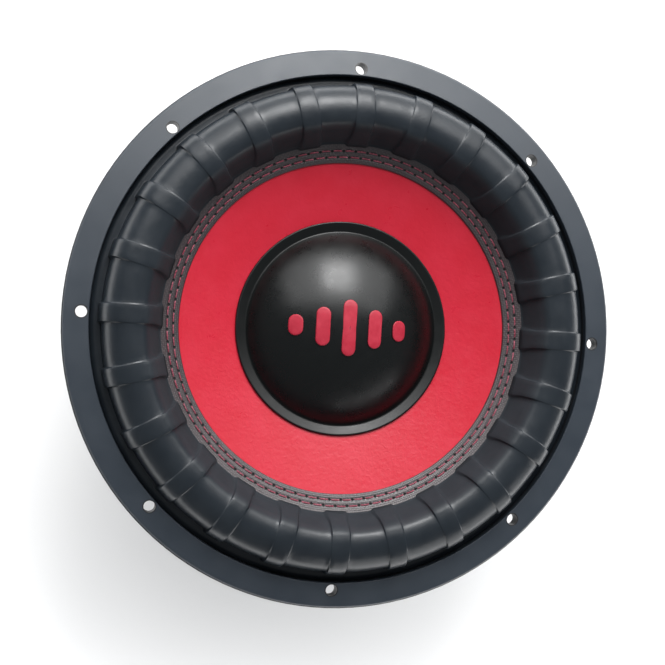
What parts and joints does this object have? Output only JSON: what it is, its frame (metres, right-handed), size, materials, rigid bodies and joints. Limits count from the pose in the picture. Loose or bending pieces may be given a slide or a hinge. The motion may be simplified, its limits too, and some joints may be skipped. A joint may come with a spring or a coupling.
{
  "type": "car subwoofer speaker",
  "caption": "Round car subwoofer driver with a banded high-roll surround, stitched red cone, domed black dust cap, cast frame, ring-magnet motor and push terminals.",
  "frame": {"origin": "centre of the mounting flange, on its rear face, where it meets the baffle", "axes": "+Z along the cone's axis, the way the cone faces; +Y towards one mounting hole; terminals on +X and -X"},
  "size_m": [0.3196, 0.3196, 0.1889],
  "materials": {
    "cast_frame": "satin",
    "trim_rubber": "satin",
    "surround_rubber": "satin",
    "spider_cloth": "matte",
    "black_steel": "satin",
    "ferrite": "matte",
    "sleeve_aluminium": "satin",
    "boot_rubber": "satin",
    "screen_steel": "satin",
    "screw_black": "satin",
    "screw_zinc": "satin",
    "terminal_plastic": "matte",
    "contact_brass": "satin",
    "button_red": "gloss",
    "button_black": "gloss",
    "spring_steel": "satin",
    "lead_braid": "satin",
    "cone_red": "satin",
    "edge_cloth": "matte",
    "thread_red": "matte",
    "cap_black": "gloss",
    "emblem_red": "satin",
    "former_aluminium": "satin",
    "wrap_paper": "matte",
    "winding_copper": "satin"
  },
  "bodies": {
    "frame": {"basket": "cast_frame", "trim_ring": "trim_rubber", "surround": "surround_rubber", "spider_upper": "spider_cloth", "spider_lower": "spider_cloth", "spider_spacer": "terminal_plastic", "top_plate": "black_steel", "magnet_front": "ferrite", "magnet_rear": "ferrite", "back_plate_and_pole": "black_steel", "shorting_sleeve": "sleeve_aluminium", "magnet_boot": "boot_rubber", "vent_screen": "screen_steel", "motor_screws": "screw_black", "terminal_housing_a": "terminal_plastic", "terminal_housing_b": "terminal_plastic", "terminal_contacts_a": "contact_brass", "terminal_contacts_b": "contact_brass", "terminal_screws": "screw_zinc", "tinsel_leads_a": "lead_braid", "tinsel_leads_b": "lead_braid", "spring_a_pos": "spring_steel", "spring_a_neg": "spring_steel", "spring_b_pos": "spring_steel", "spring_b_neg": "spring_steel"},
    "cone_assembly": {"cone": "cone_red", "edge_ring": "edge_cloth", "stitches_inner": "thread_red", "stitches_outer": "thread_red", "dust_cap": "cap_black", "emblem": "emblem_red", "coil_former": "former_aluminium", "former_wrap": "wrap_paper", "coil_winding": "winding_copper", "lead_tabs": "contact_brass"},
    "button_a_pos": {"button_a_pos": "button_red"},
    "button_a_neg": {"button_a_neg": "button_black"},
    "button_b_pos": {"button_b_pos": "button_red"},
    "button_b_neg": {"button_b_neg": "button_black"}
  },
  "joints": [
    {"name": "cone_stroke", "type": "slide", "parent": "frame", "child": "cone_assembly", "axis": [0, 0, 1], "range_m": [-0.015, 0.015], "stiffness_N_per_m": 12000, "springref_m": 0.0003, "deforming": ["surround", "spider_upper", "spider_lower", "tinsel_leads_a", "tinsel_leads_b"]},
    {"name": "button_a_pos_press", "type": "slide", "parent": "frame", "child": "button_a_pos", "axis": [0, 0, 1], "range_m": [0, 0.004], "stiffness_N_per_m": 1000, "springref_m": -0.003, "deforming": ["spring_a_pos"]},
    {"name": "button_a_neg_press", "type": "slide", "parent": "frame", "child": "button_a_neg", "axis": [0, 0, 1], "range_m": [0, 0.004], "stiffness_N_per_m": 1000, "springref_m": -0.003, "deforming": ["spring_a_neg"]},
    {"name": "button_b_pos_press", "type": "slide", "parent": "frame", "child": "button_b_pos", "axis": [0, 0, 1], "range_m": [0, 0.004], "stiffness_N_per_m": 1000, "springref_m": -0.003, "deforming": ["spring_b_pos"]},
    {"name": "button_b_neg_press", "type": "slide", "parent": "frame", "child": "button_b_neg", "axis": [0, 0, 1], "range_m": [0, 0.004], "stiffness_N_per_m": 1000, "springref_m": -0.003, "deforming": ["spring_b_neg"]}
  ]
}
